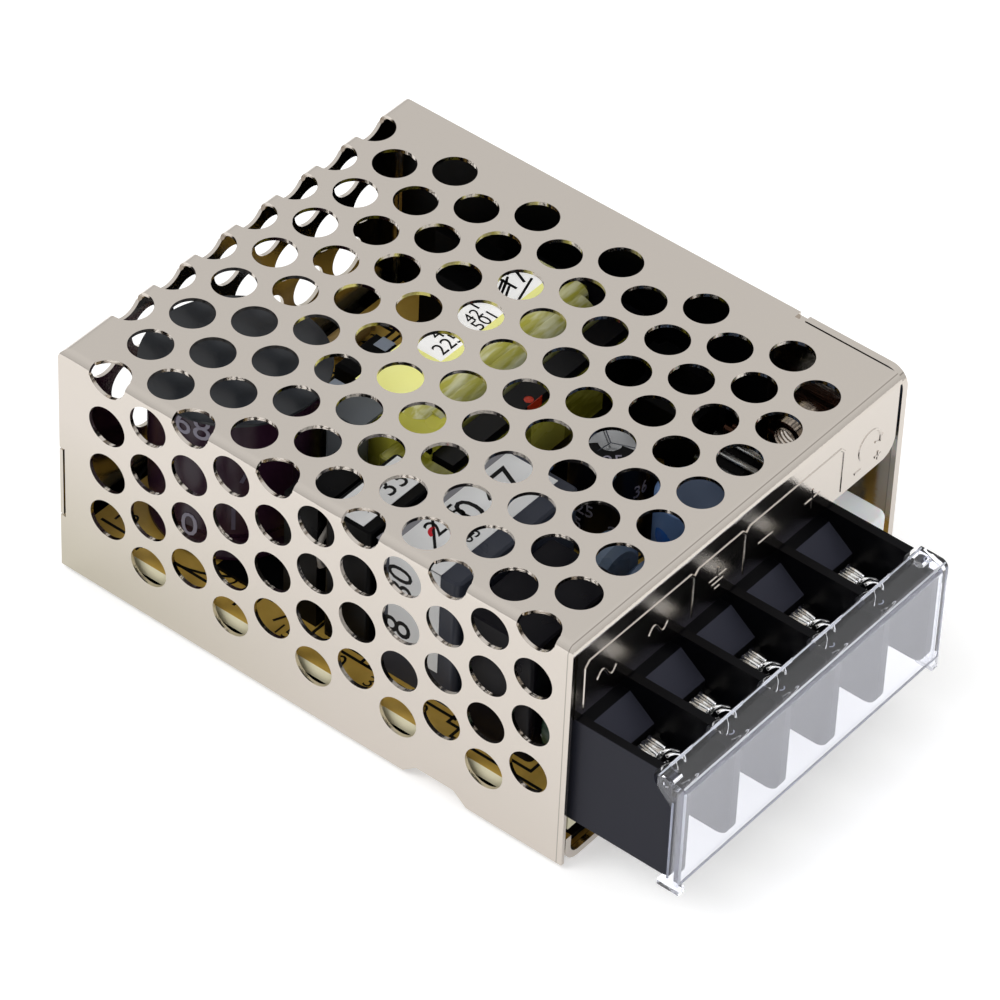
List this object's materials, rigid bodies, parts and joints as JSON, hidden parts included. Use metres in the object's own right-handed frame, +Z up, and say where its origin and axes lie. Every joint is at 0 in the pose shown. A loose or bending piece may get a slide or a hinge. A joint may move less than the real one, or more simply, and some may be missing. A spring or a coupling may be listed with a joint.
{
  "type": "ac-dc power supply",
  "caption": "Small enclosed switching power supply: bent tray, perforated folded cover over a populated board, and a barrier terminal block with a hinged clear lid at the front.",
  "frame": {"origin": "middle of the case's underside, between the two base mounting holes", "axes": "+X from the rear panel towards the terminals, +Y from the perforated side to the plain side wall, +Z up"},
  "size_m": [0.0766, 0.051, 0.028],
  "materials": {
    "bright_nickel_sheet": "bright nickel plated sheet steel",
    "tray_nickel_sheet": "bright nickel plated sheet steel",
    "screw_steel": "zinc plated",
    "insulating_film": "black film",
    "board_laminate": "tan paper laminate",
    "post_brass": "plain",
    "capacitor_sleeve": "dark shrunk sleeve over an aluminium can",
    "output_sleeve": "black shrunk sleeve over an aluminium can",
    "second_sleeve": "slate blue shrunk sleeve over an aluminium can",
    "former_resin": "black phenolic resin",
    "winding_tape": "yellow polyester tape",
    "ferrite": "dark ferrite",
    "core_tape_film": "olive polyester tape",
    "tape_film": "yellow taped film capacitor",
    "label_paper": "plain label",
    "box_resin": "dark moulded box",
    "grey_resin": "grey moulded box",
    "disc_lacquer": "blue dipped lacquer",
    "choke_wire": "enamelled copper turns",
    "heatsink_aluminium": "plain sheet",
    "package_epoxy": "black epoxy",
    "resistor_lacquer": "tan lacquer",
    "thermistor_lacquer": "dark green lacquer",
    "lamp_resin": "green clear resin",
    "adjuster_resin": "white translucent resin",
    "rotor_resin": "white resin",
    "block_resin": "black glass filled resin",
    "lid_resin": "clear moulded plastic",
    "terminal_nickel": "nickel plated brass and steel"
  },
  "bodies": {
    "supply": {"chassis": "tray_nickel_sheet", "perforated_cover": "bright_nickel_sheet", "cover_screws": "screw_steel", "insulation_sheet": "insulating_film", "circuit_board": "board_laminate", "board_standoffs": "post_brass", "board_screws": "screw_steel", "bulk_capacitor": "capacitor_sleeve", "transformer_bobbin": "former_resin", "transformer_winding": "winding_tape", "transformer_core": "ferrite", "core_tape": "core_tape_film", "transformer_label": "label_paper", "film_capacitor": "box_resin", "line_choke": "box_resin", "boxed_filter": "box_resin", "suppression_capacitor": "tape_film", "snubber_capacitor": "grey_resin", "output_capacitor_1": "output_sleeve", "output_capacitor_2": "second_sleeve", "disc_capacitor_1": "disc_lacquer", "disc_capacitor_2": "disc_lacquer", "output_choke": "choke_wire", "transistor_heatsink": "heatsink_aluminium", "switching_transistor": "package_epoxy", "rectifier_heatsink": "heatsink_aluminium", "output_rectifier": "package_epoxy", "bridge_rectifier": "package_epoxy", "controller_chip": "package_epoxy", "optocoupler": "package_epoxy", "start_resistor": "resistor_lacquer", "snubber_resistor": "resistor_lacquer", "inrush_thermistor": "thermistor_lacquer", "indicator_lamp": "lamp_resin", "adjuster_body": "adjuster_resin", "terminal_block": "block_resin", "contact_plate_1": "terminal_nickel", "contact_plate_2": "terminal_nickel", "contact_plate_3": "terminal_nickel", "contact_plate_4": "terminal_nickel", "contact_plate_5": "terminal_nickel"},
    "lid": {"terminal_lid": "lid_resin"},
    "adjuster": {"adjuster_rotor": "rotor_resin"},
    "clamp_1": {"wire_clamp_1": "terminal_nickel"},
    "screw_1": {"terminal_screw_1": "terminal_nickel"},
    "clamp_2": {"wire_clamp_2": "terminal_nickel"},
    "screw_2": {"terminal_screw_2": "terminal_nickel"},
    "clamp_3": {"wire_clamp_3": "terminal_nickel"},
    "screw_3": {"terminal_screw_3": "terminal_nickel"},
    "clamp_4": {"wire_clamp_4": "terminal_nickel"},
    "screw_4": {"terminal_screw_4": "terminal_nickel"},
    "clamp_5": {"wire_clamp_5": "terminal_nickel"},
    "screw_5": {"terminal_screw_5": "terminal_nickel"}
  },
  "joints": [
    {"name": "lid_hinge", "type": "hinge", "parent": "supply", "child": "lid", "pos_m": [0.0419, -0.005, 0.01745], "axis": [0, -1, 0], "range_deg": [0, 90]},
    {"name": "adjuster_turn", "type": "hinge", "parent": "supply", "child": "adjuster", "pos_m": [0.0335, 0.0183, 0.0103], "axis": [1, 0, 0], "range_deg": [-130, 130]},
    {"name": "clamp_slide_1", "type": "slide", "parent": "supply", "child": "clamp_1", "axis": [1, 0, 0], "range_m": [0, 0.0025]},
    {"name": "screw_turn_1", "type": "hinge", "parent": "clamp_1", "child": "screw_1", "pos_m": [0.037, -0.02019, 0.0112], "axis": [1, 0, 0], "range_deg": [0, 2100]},
    {"name": "clamp_slide_2", "type": "slide", "parent": "supply", "child": "clamp_2", "axis": [1, 0, 0], "range_m": [0, 0.0025]},
    {"name": "screw_turn_2", "type": "hinge", "parent": "clamp_2", "child": "screw_2", "pos_m": [0.037, -0.01257, 0.0112], "axis": [1, 0, 0], "range_deg": [0, 2100]},
    {"name": "clamp_slide_3", "type": "slide", "parent": "supply", "child": "clamp_3", "axis": [1, 0, 0], "range_m": [0, 0.0025]},
    {"name": "screw_turn_3", "type": "hinge", "parent": "clamp_3", "child": "screw_3", "pos_m": [0.037, -0.00495, 0.0112], "axis": [1, 0, 0], "range_deg": [0, 2100]},
    {"name": "clamp_slide_4", "type": "slide", "parent": "supply", "child": "clamp_4", "axis": [1, 0, 0], "range_m": [0, 0.0025]},
    {"name": "screw_turn_4", "type": "hinge", "parent": "clamp_4", "child": "screw_4", "pos_m": [0.037, 0.00267, 0.0112], "axis": [1, 0, 0], "range_deg": [0, 2100]},
    {"name": "clamp_slide_5", "type": "slide", "parent": "supply", "child": "clamp_5", "axis": [1, 0, 0], "range_m": [0, 0.0025]},
    {"name": "screw_turn_5", "type": "hinge", "parent": "clamp_5", "child": "screw_5", "pos_m": [0.037, 0.01029, 0.0112], "axis": [1, 0, 0], "range_deg": [0, 2100]}
  ],
  "couplings": [
    {"joint": "screw_turn_1", "follows": "clamp_slide_1", "rad_per_m": 12566},
    {"joint": "screw_turn_2", "follows": "clamp_slide_2", "rad_per_m": 12566},
    {"joint": "screw_turn_3", "follows": "clamp_slide_3", "rad_per_m": 12566},
    {"joint": "screw_turn_4", "follows": "clamp_slide_4", "rad_per_m": 12566},
    {"joint": "screw_turn_5", "follows": "clamp_slide_5", "rad_per_m": 12566}
  ]
}
